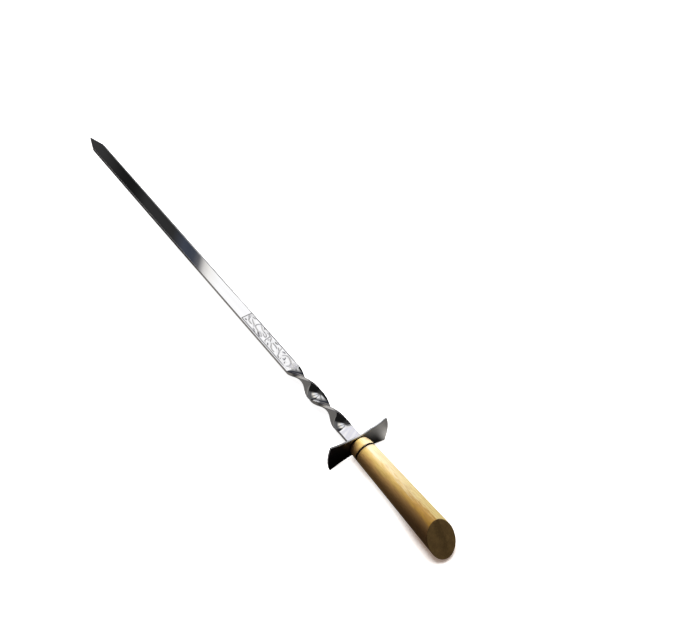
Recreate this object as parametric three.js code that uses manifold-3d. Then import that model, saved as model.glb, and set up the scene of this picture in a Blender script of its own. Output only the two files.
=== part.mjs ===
// Kebab skewer: a flat stainless bar with a spear point and one full twist, a bow-tie guard plate that is
// trapped between the bar's shoulders and the handle, and a turned wooden handle on the bar's tang.
// Millimetres, +Z up, lying at rest on its point and on the guard's two lower corners.
//
// Every piece is shaped in one bar frame: X runs along the bar from the point to the handle and is zero in
// the middle of the guard plate, Y runs across the bar, and Z stands on its flat face.
import * as THREE from "three";
import { mergeVertices } from "three/addons/utils/BufferGeometryUtils.js";
import Module from "manifold-3d";

// Fits
const FIT_GAP = 0.3; // between a piece and the one that it seats on or is cut for

// Bar
const BAR_WIDTH = 12;
const BAR_THICKNESS = 3;
const BAR_EDGE_CHAMFER = 0.2;
const BLADE_REACH = 470; // from the guard's middle to the point
const POINT_LENGTH = 18.5;
const POINT_END_WIDTH = 0.7;
const POINT_SHOULDER_RADIUS = 12; // where the point's side runs into the bar's edge
const POINT_SHOULDER_STEPS = 4;

// Twist: one full turn, its rate rising and falling over a short ease at each end
const NECK_LENGTH = 15.5; // flat stretch between the guard's middle and the twist
const TWIST_LENGTH = 75.5;
const TWIST_TURNS = -1; // negative turns the +Y edge downwards on the way to the handle
const TWIST_EASE = 3;
const TWIST_STEPS = 78;

// Tang: the narrowed end of the bar inside the handle
const TANG_WIDTH = 6;
const TANG_REACH = 62; // from the guard's middle to the tang's end
const TANG_POINT_LENGTH = 8;
const TANG_END_WIDTH = 3;

// Guard plate, standing across the bar
const GUARD_THICKNESS = 1.5;
const GUARD_CORNER_Y = 26; // the corners' distance from the middle
const GUARD_CORNER_Z = 13.8;
const GUARD_WAIST_Z = 9.6; // half the height in the middle, where the long edges are hollow
const GUARD_END_BULGE = 2.2; // how far the rounded ends stand out past the corners
const GUARD_CORNER_TRIM = 0.8; // how far from the corner its rounding starts
const GUARD_ARC_STEPS = 24;

// Handle, turned, measured from the guard's middle
const HANDLE_REACH = 100; // to the middle of the slanted end
const HANDLE_END_SLANT = THREE.MathUtils.degToRad(39.5); // of the end from square, the underside longer
const HANDLE_NOSE_RADIUS = 7.6; // against the guard
const HANDLE_NOSE_LENGTH = 7; // of the rounded nose behind the guard
const HANDLE_RING_REACH = 10; // to the burnt ring
const HANDLE_RING_WIDTH = 1.2;
const HANDLE_RING_DEPTH = 0.45;
const HANDLE_FRONT_RADIUS = 9.2; // at the ring
const HANDLE_END_RADIUS = 11.7; // in the middle of the slanted end
const HANDLE_NOSE_STEPS = 8;
const HANDLE_FACETS = 72;

// Blind hole in the handle, and the epoxy that fills it round the tang
const HOLE_DIAMETER = 8.5;
const HOLE_SPARE_DEPTH = 6; // past the tang's end
const DRILL_POINT_ANGLE = THREE.MathUtils.degToRad(118);
const HOLE_FACETS = 40;

const STEEL = { color: 0xc6c9cd, roughness: 0.14, metalness: 1 };
const WOOD = { color: 0xdcb878, roughness: 0.55, metalness: 0 };
const EPOXY = { color: 0xb9a77c, roughness: 0.4, metalness: 0 };

const guardFace = GUARD_THICKNESS / 2;
const seatReach = guardFace + FIT_GAP; // of the bar's shoulders before the guard, of the handle behind it

const wasm = await Module();
wasm.setup();

// A closed geometry as a solid: only its positions count, and triangles that a pole collapses are dropped.
function solidOf(geometry) {
  const bare = geometry.clone();
  bare.deleteAttribute("normal");
  bare.deleteAttribute("uv");
  const merged = mergeVertices(bare, 1e-4);
  const corners = merged.index.array;
  const kept = [];
  for (let i = 0; i < corners.length; i += 3) {
    const [a, b, c] = [corners[i], corners[i + 1], corners[i + 2]];
    if (a !== b && b !== c && c !== a) kept.push(a, b, c);
  }
  return new wasm.Manifold(
    new wasm.Mesh({
      numProp: 3,
      vertProperties: merged.getAttribute("position").array,
      triVerts: new Uint32Array(kept),
    }),
  );
}

// A solid back as a flat-shaded geometry.
function geometryOf(solid) {
  const mesh = solid.getMesh();
  const places = new Float32Array(mesh.numVert * 3);
  for (let i = 0; i < mesh.numVert; i++) {
    const at = i * mesh.numProp;
    places.set(mesh.vertProperties.subarray(at, at + 3), i * 3);
  }
  const geometry = new THREE.BufferGeometry()
    .setAttribute("position", new THREE.BufferAttribute(places, 3))
    .setIndex(new THREE.BufferAttribute(new Uint32Array(mesh.triVerts), 1))
    .toNonIndexed();
  geometry.computeVertexNormals();
  return geometry;
}

// A closed skin over rings of equal length, each a list of points, with a fan over either end.
function loft(rings) {
  const size = rings[0].length;
  const points = rings.flat();
  const faces = [];
  for (let r = 0; r + 1 < rings.length; r++)
    for (let k = 0; k < size; k++) {
      const [a, b] = [r * size + k, r * size + ((k + 1) % size)];
      faces.push(a, b, a + size, b, b + size, a + size);
    }
  const last = (rings.length - 1) * size;
  for (let k = 1; k + 1 < size; k++) faces.push(0, k + 1, k, last, last + k, last + k + 1);
  return new THREE.BufferGeometry().setFromPoints(points).setIndex(faces);
}

// A body turned about the bar's axis from (radius, x) pairs in order of rising x, both ends on the axis.
function turned(profile, facets) {
  const points = profile.map(([radius, x]) => new THREE.Vector2(radius, x));
  return new THREE.LatheGeometry(points, facets).rotateZ(-Math.PI / 2);
}

// One ring of the bar: a rectangle with chamfered corners, turned about X.
function barRing({ x, width, angle = 0 }) {
  const [y, z] = [width / 2, BAR_THICKNESS / 2];
  const cut = Math.min(BAR_EDGE_CHAMFER, y / 2);
  const corners = [
    [y, z - cut],
    [y - cut, z],
    [cut - y, z],
    [-y, z - cut],
    [-y, cut - z],
    [cut - y, -z],
    [y - cut, -z],
    [y, cut - z],
  ];
  const [c, s] = [Math.cos(angle), Math.sin(angle)];
  return corners.map(([u, v]) => new THREE.Vector3(x, u * c - v * s, u * s + v * c));
}

// The spear point: straight sides from its blunt end, run into the bar's edges on an arc.
function pointRings() {
  const slope = Math.atan2((BAR_WIDTH - POINT_END_WIDTH) / 2, POINT_LENGTH);
  const shoulder = POINT_LENGTH - BLADE_REACH;
  const tangent = POINT_SHOULDER_RADIUS * Math.tan(slope / 2);
  const centre = new THREE.Vector2(shoulder + tangent, BAR_WIDTH / 2 - POINT_SHOULDER_RADIUS);
  const rings = [{ x: -BLADE_REACH, width: POINT_END_WIDTH }];
  for (let i = 0; i <= POINT_SHOULDER_STEPS; i++) {
    const turn = slope * (1 - i / POINT_SHOULDER_STEPS);
    rings.push({
      x: centre.x - POINT_SHOULDER_RADIUS * Math.sin(turn),
      width: 2 * (centre.y + POINT_SHOULDER_RADIUS * Math.cos(turn)),
    });
  }
  return rings;
}

// The twist's angle after a length s of it: its rate rises evenly over the ease, holds, and falls again.
function twistAngle(s) {
  const rate = (2 * Math.PI * TWIST_TURNS) / (TWIST_LENGTH - TWIST_EASE);
  const left = TWIST_LENGTH - s;
  if (s < TWIST_EASE) return (rate * s * s) / (2 * TWIST_EASE);
  if (left < TWIST_EASE) return 2 * Math.PI * TWIST_TURNS - (rate * left * left) / (2 * TWIST_EASE);
  return rate * (s - TWIST_EASE / 2);
}

// The twisted stretch between the ornament's end and the neck.
function twistRings() {
  const start = -(NECK_LENGTH + TWIST_LENGTH);
  return Array.from({ length: TWIST_STEPS + 1 }, (_, i) => {
    const s = (TWIST_LENGTH * i) / TWIST_STEPS;
    return { x: start + s, width: BAR_WIDTH, angle: twistAngle(s) };
  });
}

// The neck's square shoulders before the guard, and the tang through the guard into the handle.
function tangRings() {
  return [
    { x: -seatReach, width: BAR_WIDTH },
    { x: -seatReach, width: TANG_WIDTH },
    { x: TANG_REACH - TANG_POINT_LENGTH, width: TANG_WIDTH },
    { x: TANG_REACH, width: TANG_END_WIDTH },
  ];
}

function blade() {
  return loft([...pointRings(), ...twistRings(), ...tangRings()].map(barRing));
}

// Points of a circle's arc round a centre, from one angle to another.
function arc(centreY, centreZ, radius, from, to) {
  return Array.from({ length: GUARD_ARC_STEPS + 1 }, (_, i) => {
    const a = from + ((to - from) * i) / GUARD_ARC_STEPS;
    return new THREE.Vector2(centreY + radius * Math.cos(a), centreZ + radius * Math.sin(a));
  });
}

// The guard's outline: hollow arcs above and below, round ends, and each corner rounded off.
function guardOutline() {
  const dip = GUARD_CORNER_Z - GUARD_WAIST_Z;
  const longRadius = (GUARD_CORNER_Y ** 2 + dip ** 2) / (2 * dip);
  const endRadius = (GUARD_CORNER_Z ** 2 + GUARD_END_BULGE ** 2) / (2 * GUARD_END_BULGE);
  const longCentre = GUARD_WAIST_Z + longRadius;
  const endCentre = GUARD_CORNER_Y + GUARD_END_BULGE - endRadius;
  const longHalf = Math.asin(GUARD_CORNER_Y / longRadius) - GUARD_CORNER_TRIM / longRadius;
  const endHalf = Math.asin(GUARD_CORNER_Z / endRadius) - GUARD_CORNER_TRIM / endRadius;
  const [down, up] = [-Math.PI / 2, Math.PI / 2];
  const sides = [
    arc(endCentre, 0, endRadius, -endHalf, endHalf),
    arc(0, longCentre, longRadius, down + longHalf, down - longHalf),
    arc(-endCentre, 0, endRadius, Math.PI - endHalf, Math.PI + endHalf),
    arc(0, -longCentre, longRadius, up + longHalf, up - longHalf),
  ];
  const corners = [
    [GUARD_CORNER_Y, GUARD_CORNER_Z],
    [-GUARD_CORNER_Y, GUARD_CORNER_Z],
    [-GUARD_CORNER_Y, -GUARD_CORNER_Z],
    [GUARD_CORNER_Y, -GUARD_CORNER_Z],
  ];
  const outline = new THREE.Shape();
  sides.forEach((points, i) => {
    points.forEach((p, k) => (i + k ? outline.lineTo(p.x, p.y) : outline.moveTo(p.x, p.y)));
    const next = sides[(i + 1) % sides.length][0];
    outline.quadraticCurveTo(...corners[i], next.x, next.y);
  });
  return outline;
}

// The slot that the tang passes through keeps the plate from turning on the bar.
function guardSlot() {
  const [y, z] = [TANG_WIDTH / 2 + FIT_GAP, BAR_THICKNESS / 2 + FIT_GAP];
  return new THREE.Path([
    new THREE.Vector2(-y, -z),
    new THREE.Vector2(-y, z),
    new THREE.Vector2(y, z),
    new THREE.Vector2(y, -z),
  ]);
}

function guardPlate() {
  const outline = guardOutline();
  outline.holes.push(guardSlot());
  const plate = new THREE.ExtrudeGeometry(outline, {
    depth: GUARD_THICKNESS,
    bevelEnabled: false,
    curveSegments: 4,
  });
  const across = new THREE.Matrix4().makeBasis(
    new THREE.Vector3(0, 1, 0),
    new THREE.Vector3(0, 0, 1),
    new THREE.Vector3(1, 0, 0),
  );
  return plate.translate(0, 0, -guardFace).applyMatrix4(across);
}

// The handle's radius outside its nose: a straight taper that widens to the end.
function sideRadius(x) {
  const u = (x - HANDLE_RING_REACH) / (HANDLE_REACH - HANDLE_RING_REACH);
  return HANDLE_FRONT_RADIUS + (HANDLE_END_RADIUS - HANDLE_FRONT_RADIUS) * u;
}

// The turned handle before its end is cut: nose, burnt ring groove and side, a little past the cut.
function handleProfile() {
  const ringStart = HANDLE_RING_REACH - HANDLE_RING_WIDTH / 2;
  const ringEnd = HANDLE_RING_REACH + HANDLE_RING_WIDTH / 2;
  const past = HANDLE_REACH + 2 * HANDLE_END_RADIUS * Math.tan(HANDLE_END_SLANT);
  const noseRise = sideRadius(seatReach + HANDLE_NOSE_LENGTH) - HANDLE_NOSE_RADIUS;
  const profile = [[0, seatReach]];
  for (let i = 0; i <= HANDLE_NOSE_STEPS; i++) {
    const turn = (Math.PI / 2) * (i / HANDLE_NOSE_STEPS);
    profile.push([
      HANDLE_NOSE_RADIUS + noseRise * Math.sin(turn),
      seatReach + HANDLE_NOSE_LENGTH * (1 - Math.cos(turn)),
    ]);
  }
  profile.push([sideRadius(ringStart), ringStart]);
  profile.push([sideRadius(HANDLE_RING_REACH) - HANDLE_RING_DEPTH, HANDLE_RING_REACH]);
  profile.push([sideRadius(ringEnd), ringEnd], [sideRadius(past), past], [0, past]);
  return profile;
}

// A drilled hole's shape, or what fills it: a straight bore that ends in the drill's cone.
function drilled(radius, from, to) {
  const cone = radius / Math.tan(DRILL_POINT_ANGLE / 2);
  return turned([[0, from], [radius, from], [radius, to], [0, to + cone]], HOLE_FACETS);
}

function handle() {
  const size = 8 * HANDLE_END_RADIUS;
  const offcut = new THREE.BoxGeometry(size, size, size)
    .translate(size / 2, 0, 0)
    .rotateY(-HANDLE_END_SLANT)
    .translate(HANDLE_REACH, 0, 0);
  const hole = drilled(HOLE_DIAMETER / 2, 0, TANG_REACH + HOLE_SPARE_DEPTH);
  const body = solidOf(turned(handleProfile(), HANDLE_FACETS));
  return geometryOf(body.subtract(solidOf(offcut)).subtract(solidOf(hole)));
}

// The epoxy follows the hole on its outside and the tang's pocket on its inside.
function tangBond() {
  const fill = drilled(HOLE_DIAMETER / 2 - FIT_GAP, seatReach, TANG_REACH + HOLE_SPARE_DEPTH - FIT_GAP);
  const pocket = new THREE.BoxGeometry(
    TANG_REACH + FIT_GAP,
    TANG_WIDTH + 2 * FIT_GAP,
    BAR_THICKNESS + 2 * FIT_GAP,
  ).translate((TANG_REACH + FIT_GAP) / 2, 0, 0);
  return geometryOf(solidOf(fill).subtract(solidOf(pocket)));
}

// A named mesh with its own material.
function piece(name, geometry, finish) {
  const mesh = new THREE.Mesh(geometry, new THREE.MeshStandardMaterial(finish));
  mesh.name = name;
  return mesh;
}

// At rest the bar slopes up from its point, which lies on the table, to the guard's lower corners.
function restSlope() {
  const lowest = Math.min(...guardOutline().getPoints().map((p) => p.y));
  return Math.atan2(-lowest - BAR_THICKNESS / 2, BLADE_REACH - guardFace);
}

const barFrame = new THREE.Group();
barFrame.add(
  piece("blade", blade(), STEEL),
  piece("guard_plate", guardPlate(), STEEL),
  piece("handle", handle(), WOOD),
  piece("tang_bond", tangBond(), EPOXY),
);
barFrame.rotation.y = -restSlope();

// The origin is under the middle of the skewer's box, on the table.
const box = new THREE.Box3().setFromObject(barFrame, true);
const middle = box.getCenter(new THREE.Vector3());
barFrame.position.set(-middle.x, -middle.y, -box.min.z);

const skewer = new THREE.Group();
skewer.add(barFrame);

export default skewer;
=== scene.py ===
"""Finished look of a kebab skewer, built on its packed solids.

A flat polished bar with a spear point, an engraved scroll and one full twist runs through a bow-tie guard
plate into a turned wooden handle. Sizes are metres. The bar frame has its origin in the middle of the guard,
X along the bar towards the handle, Y across it and Z out of its upper flat.
"""

import math

import bpy
import numpy as np
from bpy.props import FloatProperty, FloatVectorProperty, PointerProperty
from bpy.types import Operator, Panel, PropertyGroup
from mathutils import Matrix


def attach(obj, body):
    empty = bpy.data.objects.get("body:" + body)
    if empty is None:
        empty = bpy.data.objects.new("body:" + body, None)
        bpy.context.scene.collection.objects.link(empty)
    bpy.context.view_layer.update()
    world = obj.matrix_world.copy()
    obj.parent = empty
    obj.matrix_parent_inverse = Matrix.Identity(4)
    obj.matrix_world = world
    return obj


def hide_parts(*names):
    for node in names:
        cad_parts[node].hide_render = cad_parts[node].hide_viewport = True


bl_info = {
    "name": "Kebab skewer",
    "version": (1, 0, 0),
    "blender": (4, 5, 0),
    "location": "View3D > Sidebar > Skewer",
    "description": "Builds the finished look of a kebab skewer on its packed solids",
    "category": "Add Mesh",
}

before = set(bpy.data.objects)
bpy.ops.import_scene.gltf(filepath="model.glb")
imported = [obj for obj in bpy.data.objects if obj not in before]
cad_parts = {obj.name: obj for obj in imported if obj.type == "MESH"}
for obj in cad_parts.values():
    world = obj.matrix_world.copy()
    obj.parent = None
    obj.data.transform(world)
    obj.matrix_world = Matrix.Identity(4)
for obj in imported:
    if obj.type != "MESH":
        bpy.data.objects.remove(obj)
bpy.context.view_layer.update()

MM = 0.001
BODY = "root"


def property_kind(make, unit_size=1, **settings):
    """What makes a property of one kind from its name, its default in the unit it is written in and its description."""
    return lambda name, value, description: make(
        name=name, description=description, default=value * unit_size, **settings
    )


mm = property_kind(FloatProperty, MM, min=0, precision=5, subtype="DISTANCE", unit="LENGTH")
angle = property_kind(FloatProperty, math.radians(1), subtype="ANGLE", unit="ROTATION")
share = property_kind(FloatProperty, min=0, max=1, subtype="FACTOR")
power = property_kind(FloatProperty, min=0, unit="POWER")
lens = property_kind(FloatProperty, min=1, unit="CAMERA")
colour = property_kind(FloatVectorProperty, min=0, max=1, size=3, subtype="COLOR")
position = property_kind(FloatVectorProperty, size=3, subtype="XYZ", unit="LENGTH")
rotation = property_kind(FloatVectorProperty, size=3, subtype="EULER", unit="ROTATION")


class RestPlace(PropertyGroup):
    """Where the bar frame lies in the part's frame at rest."""

    slope: angle("Rest slope", 1.4786444910004928, "How far the bar rises from its point to the guard")
    guard_x: mm("Guard along", 179.8695218639544, "The guard's middle along X")
    guard_z: mm("Guard height", 13.627545148149453, "The guard's middle over the table")


class BarSizes(PropertyGroup):
    """The flat bar with its point, twist, neck and tang."""

    width: mm("Width", 12, "Across the bar's flat")
    thickness: mm("Thickness", 3, "Of the bar")
    edge_radius: mm("Edge radius", 0.2, "Of the bar's four long edges")
    bevel_width: mm("Bevel width", 0.75, "Of the bevel along the upper flat's +Y edge, up to the twist")
    bevel_drop: mm("Bevel drop", 0.17, "How far the bevel falls")
    dish: mm("Dish", 0.004, "How much lower the flats lie along their middle, as rolling leaves them")
    ripple: mm("Ripple", 0.02, "Of the neck's flats, which the twisting has left uneven")
    reach: mm("Reach", 470, "From the guard's middle to the point")
    point_length: mm("Point length", 18.5, "Of the spear point")
    point_end: mm("Point end width", 0.7, "Of the blunt end of the point")
    shoulder_radius: mm("Shoulder radius", 12, "Where the point runs into the bar's edges")
    neck_length: mm("Neck length", 15.5, "Flat stretch between the guard's middle and the twist")
    twist_length: mm("Twist length", 75.5, "Of the full turn")
    twist_ease: mm("Twist ease", 3, "Over which the turn starts and ends")
    tang_width: mm("Tang width", 6, "Of the narrowed end inside the handle")
    tang_reach: mm("Tang reach", 62, "From the guard's middle to the tang's end")
    tang_point: mm("Tang point", 8, "Length of the tapered end of the tang")
    tang_end: mm("Tang end width", 3, "Of the end of the tang")


class ScrollSizes(PropertyGroup):
    """The engraved scroll on the upper flat."""

    start: mm("Start", 162, "From the guard's middle to the frame's far side")
    length: mm("Length", 72.6, "Of the engraved frame along the bar")
    frame_half: mm("Frame half width", 5.2, "From the bar's middle to the frame's long lines")
    offset: mm("Offset", 0.4, "Of the whole scroll from the bar's middle towards +Y")
    line_half: mm("Line half width", 0.13, "Of the frame's lines")
    soft: mm("Cut softness", 0.2, "Over which a cut's side falls")
    depth: mm("Cut depth", 0.12, "Of the deepest cuts")
    ground: share("Ground", 0.14, "How far the ground between the strokes is frosted")
    hatch: mm("Hatch", 1.7, "From one hatching line over the frame to the next")


class GuardSizes(PropertyGroup):
    """The guard plate across the bar."""

    thickness: mm("Thickness", 1.5, "Of the plate")
    corner_y: mm("Corner across", 26, "The corners' distance from the middle")
    corner_z: mm("Corner height", 13.8, "The corners' distance from the bar's middle plane")
    waist_z: mm("Waist", 9.6, "Half the height in the middle")
    end_bulge: mm("End bulge", 2.2, "How far the round ends stand out past the corners")
    corner_trim: mm("Corner trim", 0.8, "How far from the corner its rounding starts")
    edge_radius: mm("Edge radius", 0.3, "Of the plate's rims")
    fit_gap: mm("Fit gap", 0.3, "Round the tang and behind the plate")


class HandleSizes(PropertyGroup):
    """The turned handle."""

    reach: mm("Reach", 100, "From the guard's middle to the middle of the slanted end")
    end_slant: angle("End slant", 39.5, "Of the end from square, the underside longer")
    end_edge: mm("End edge", 0.45, "How far back the edge of the slanted end is eased")
    nose_radius: mm("Nose radius", 7.6, "Against the guard")
    nose_length: mm("Nose length", 7, "Of the rounded nose")
    ring_reach: mm("Ring reach", 10, "To the burnt ring")
    ring_width: mm("Ring width", 1.2, "Of the burnt ring's groove")
    ring_depth: mm("Ring depth", 0.45, "Of the burnt ring's groove")
    front_radius: mm("Front radius", 9.2, "At the burnt ring")
    end_radius: mm("End radius", 11.7, "In the middle of the slanted end")
    hole_radius: mm("Hole radius", 4.25, "Of the drilled hole")
    hole_reach: mm("Hole reach", 68, "From the guard's middle to where the drill's cone starts")
    drill_angle: angle("Drill angle", 118, "Of the drill's cone")


class SteelFinish(PropertyGroup):
    """Polished stainless steel."""

    tint: colour("Steel", (0.80, 0.80, 0.81), "Of the polished steel")
    cut_cool: colour("Cut steel, cool", (0.10, 0.095, 0.17), "Of the frosted cuts of the scroll")
    cut_warm: colour("Cut steel, warm", (0.15, 0.12, 0.08), "Of the cuts where the etch has gone brown")
    side_tint: colour("Ground sides", (0.70, 0.68, 0.65), "Of the bar's narrow sides")
    # Painted reflection: the dark tint on the rounded long edges stands for the dark line they mirror.
    edge_dark_reflection: colour("Broken edges", (0.25, 0.24, 0.32), "Of the bar's four long edges")
    guard_tint: colour("Guard steel", (0.62, 0.62, 0.61), "Of the satin guard plate")
    roughness: share("Roughness", 0.018, "Of the polished flats")
    twist_roughness: share("Twist roughness", 0.06, "Where the twisting has dulled the polish")
    side_roughness: share("Side roughness", 0.36, "Of the narrow sides")
    cut_roughness: share("Cut roughness", 0.4, "Of the cuts")
    guard_roughness: share("Guard roughness", 0.3, "Of the satin guard plate")


class WoodFinish(PropertyGroup):
    """Satin lacquered hardwood."""

    # Painted light: each pair of colours goes from paler and creamier near the guard, a painted highlight, to more
    # saturated and darker towards the end, a painted falloff of the lamps. The pale sapwood on the lit right is partly
    # the wood's figure, partly a painted highlight.
    pale: colour("Sapwood", (0.84, 0.70, 0.42), "Of the pale wood on the handle's right, near the guard")
    pale_end: colour("Sapwood, end", (0.90, 0.72, 0.30), "Of the same wood near the stained end")
    warm: colour("Heartwood", (0.89, 0.63, 0.19), "Of the golden wood beside it, near the guard")
    warm_end: colour("Heartwood, end", (0.71, 0.39, 0.055), "Of the same wood near the stained end")
    # Painted shade: a redder, darker tone on the handle's left, the side away from the lamps, darker still towards the
    # end.
    red: colour("Red heartwood", (0.88, 0.52, 0.175), "Of the redder wood on the handle's left, near the guard")
    red_shade_end: colour("Red heartwood, end", (0.43, 0.24, 0.085), "Of the same wood near the stained end")
    dark: colour("Late wood", (0.42, 0.20, 0.045), "Of the thin darker bands of the grain")
    # Painted shade: the nose's sides darkened next to the guard, where the guard shades them.
    nose_shade: colour("Browned wood", (0.19, 0.115, 0.05), "Of the nose's sides, browned against the guard")
    scorch: colour("Scorch", (0.012, 0.008, 0.005), "Of the burnt ring")
    stain: colour("End stain", (0.34, 0.215, 0.078), "Of the stained end")
    stain_dark: colour("End stain, dark", (0.18, 0.112, 0.04), "Of the end's darker pores")


class ResinFinish(PropertyGroup):
    """Cured resin round the tang."""

    clear: colour("Resin", (0.48, 0.39, 0.20), "Of the cured resin")
    cloudy: colour("Cloudy resin", (0.62, 0.55, 0.36), "Where air is trapped")


class StageSet(PropertyGroup):
    """Floor, lamps and camera."""

    floor: colour("Floor", (0.95, 0.95, 0.95), "Of the white floor")
    floor_half: mm("Floor half", 4000, "Half the side of the square floor")
    floor_bounce: share("Floor bounce", 0.07, "How much of its light the floor throws back on the skewer")
    # Its warm tint colours the shadow there as painted warm bounce light.
    floor_lift: colour("Floor lift", (0.27, 0.205, 0.165), "Added where the camera sees the floor by the handle's end")
    ambient: colour("Ambient", (0.08, 0.069, 0.07), "Soft light from all round")
    key_power: power("Key lamp", 0.29, "Of the lamp over the twist that lights the handle")
    side_power: power("Side lamp", 0.37, "Of the lamp on the right of the handle, which stands further off")
    top_power: power("Top lamp", 32, "Of the lamp that lights the floor from above")
    camera_place: position("Camera place", (0.50655314, -0.28813557, 0.6135041), "Where the camera stands")
    camera_turn: rotation("Camera turn", (0.75683882, -0.05471956, 0.95516957), "How the camera is turned")
    focal_length: lens("Focal length", 51.001, "On a sensor 36 mm wide, in mm")


# Shapes


def in_place(place, x, y, z):
    """Bar frame to part frame: turned by the rest slope about Y, then moved to the guard's middle."""
    cos, sin = math.cos(place.slope), math.sin(place.slope)
    x, y, z = np.broadcast_arrays(x, y, z)
    return np.stack([cos * x - sin * z + place.guard_x, y, sin * x + cos * z + place.guard_z], axis=-1)


def skin(name, rings, first=None, last=None):
    """A closed mesh over a grid of points, rows by columns, whose columns run round the piece.

    Each cell is a quad. The two points given close the end rows with fans. Without them, the last row joins
    the first. The signed volume, a sum over all corners of the faces, says whether the faces point inwards,
    and turns them all if so.
    """
    rows, columns = rings.shape[:2]
    index = np.arange(rows * columns).reshape(rows, columns)
    points = rings.reshape(-1, 3)
    if first is None:
        index = np.vstack([index, index[:1]])
    beside = np.roll(index, -1, axis=1)
    quads = np.stack([index[:-1], beside[:-1], beside[1:], index[1:]], axis=-1).reshape(-1, 4)
    fans = np.empty((0, 3), int)
    if first is not None:
        points = np.vstack([points, first, last])
        hub = np.full(columns, rows * columns)
        fans = np.vstack([np.stack([beside[0], index[0], hub], -1), np.stack([index[-1], beside[-1], hub + 1], -1)])
    halves = np.concatenate([quads[:, [0, 1, 2]], quads[:, [0, 2, 3]], fans])
    a, b, c = (points[halves[:, i]] - points.mean(0) for i in range(3))
    if np.einsum("ij,ij->", a, np.cross(b, c)) < 0:
        quads, fans = quads[:, ::-1], fans[:, ::-1]
    mesh = bpy.data.meshes.new(name)
    mesh.from_pydata(points, [], quads.tolist() + fans.tolist())
    mesh.validate()
    mesh.shade_smooth()
    return mesh


def mark(mesh, rings, last=0, **masks):
    """Keeps numbers on the mesh, one per point of the grid; the point that closes the last row gets its own."""
    for name, values in masks.items():
        full = np.append(np.broadcast_to(values, rings.shape[:2]), (0, last))[: len(mesh.vertices)]
        mesh.attributes.new(name, "FLOAT", "POINT").data.foreach_set("value", full.astype(np.float32))


def add_piece(name, mesh, material, slot, *nodes):
    """Puts a finished mesh in the scene as a piece that rides on the body and stands for its nodes."""
    if len(mesh.vertices) == 0:
        raise RuntimeError(f"{name} has no points")
    piece = bpy.data.objects.new(name, mesh)
    bpy.context.scene.collection.objects.link(piece)
    mesh.materials.append(material)
    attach(piece, BODY)
    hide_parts(*nodes)


def rise(value, start, stop):
    """Nought at start, one at stop, straight between them and held beyond."""
    return np.clip((value - start) / (stop - start), 0, 1)


def parabola(start, corner, end, t):
    """A parabola from start to end whose control point is the corner, at the shares t."""
    return (1 - t) ** 2 * start + 2 * t * (1 - t) * corner + t**2 * end


def spread(start, stop, step):
    """Evenly spaced numbers from start to stop, no further apart than step."""
    return np.linspace(start, stop, max(2, math.ceil(abs(stop - start) / step) + 1))


def bar_stations(bar, scroll):
    """Places along the bar where a section stands: close where it is engraved or twisted, wide elsewhere."""
    shoulder = bar.point_length - bar.reach
    twist_end = -bar.neck_length
    twist_start = twist_end - bar.twist_length
    scroll_end = scroll.length - scroll.start
    arc, margin, before_guard = 2 * MM, 0.7 * MM, -1.2 * MM
    runs = (
        # from, to, longest step
        (-bar.reach, shoulder - arc, 2 * MM),
        (shoulder - arc, shoulder + arc, 0.4 * MM),
        (shoulder + arc, -scroll.start - 1 * MM, 12 * MM),
        (-scroll.start - margin, scroll_end + margin, 0.145 * MM),
        (twist_start, twist_end, 0.65 * MM),
        (twist_end, before_guard, 0.5 * MM),
    )
    return np.unique(np.round(np.concatenate([spread(*run) for run in runs]), 9))


def bar_half_width(bar, x):
    """Half the bar's width: straight sides rise from the blunt point and meet the edges on an arc.

    On the arc it is the centre's distance from the middle plus the root of the radius squared less the
    squared distance from the centre along the bar.
    """
    half, end = bar.width / 2, bar.point_end / 2
    slope = math.atan2(half - end, bar.point_length)
    shoulder = bar.point_length - bar.reach
    centre = shoulder + bar.shoulder_radius * math.tan(slope / 2)
    start = centre - bar.shoulder_radius * math.sin(slope)
    side = end + (x + bar.reach) * math.tan(slope)
    arc = half - bar.shoulder_radius + np.sqrt(np.maximum(bar.shoulder_radius**2 - (x - centre) ** 2, 0))
    return np.where(x < start, side, np.where(x < centre, arc, half))


def twist_angle(bar, x):
    """The bar's turn about its axis: its rate rises evenly over the ease, holds and falls again to one turn."""
    rate = -2 * math.pi / (bar.twist_length - bar.twist_ease)
    s = np.clip(x + bar.neck_length + bar.twist_length, 0, bar.twist_length)
    left = bar.twist_length - s
    growing = rate * s**2 / (2 * bar.twist_ease)
    fading = -2 * math.pi - rate * left**2 / (2 * bar.twist_ease)
    held = rate * (s - bar.twist_ease / 2)
    return np.where(s < bar.twist_ease, growing, np.where(left < bar.twist_ease, fading, held))


def bar_section(columns):
    """One section of the bar as shares: y and z are a share of the half size less the edge, plus an edge part.

    It runs over the upper flat from +Y to -Y in the given number of columns, down the far side, back under
    and up, with three points on the quarter circle at each corner. Thin columns at the ends of each flat keep
    its shading true. The last row says how far a point belongs to the narrow sides: nought on the flats, one
    on the sides and a half on the round edges.
    """
    flat = np.linspace(1, -1, columns)
    under = np.array([-1, -0.97, -0.6, -0.2, 0.2, 0.6, 0.97, 1.0])
    side = np.array([0.8, 0.0, -0.8])
    bend = np.radians([18, 45, 72])
    cos, sin = np.cos(bend), np.sin(bend)
    parts = (
        # share and part across, share and part upwards, narrowness
        (flat, 0, 1, 1, 0),
        (-1, -sin, 1, cos, 0.5),
        (-1, -1, side, 0, 1),
        (-1, -cos, -1, -sin, 0.5),
        (under, 0, -1, -1, 0),
        (1, sin, -1, -cos, 0.5),
        (1, 1, -side, 0, 1),
        (1, cos, 1, sin, 0.5),
    )
    return [np.concatenate(part) for part in zip(*(np.broadcast_arrays(*part) for part in parts))]


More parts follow.
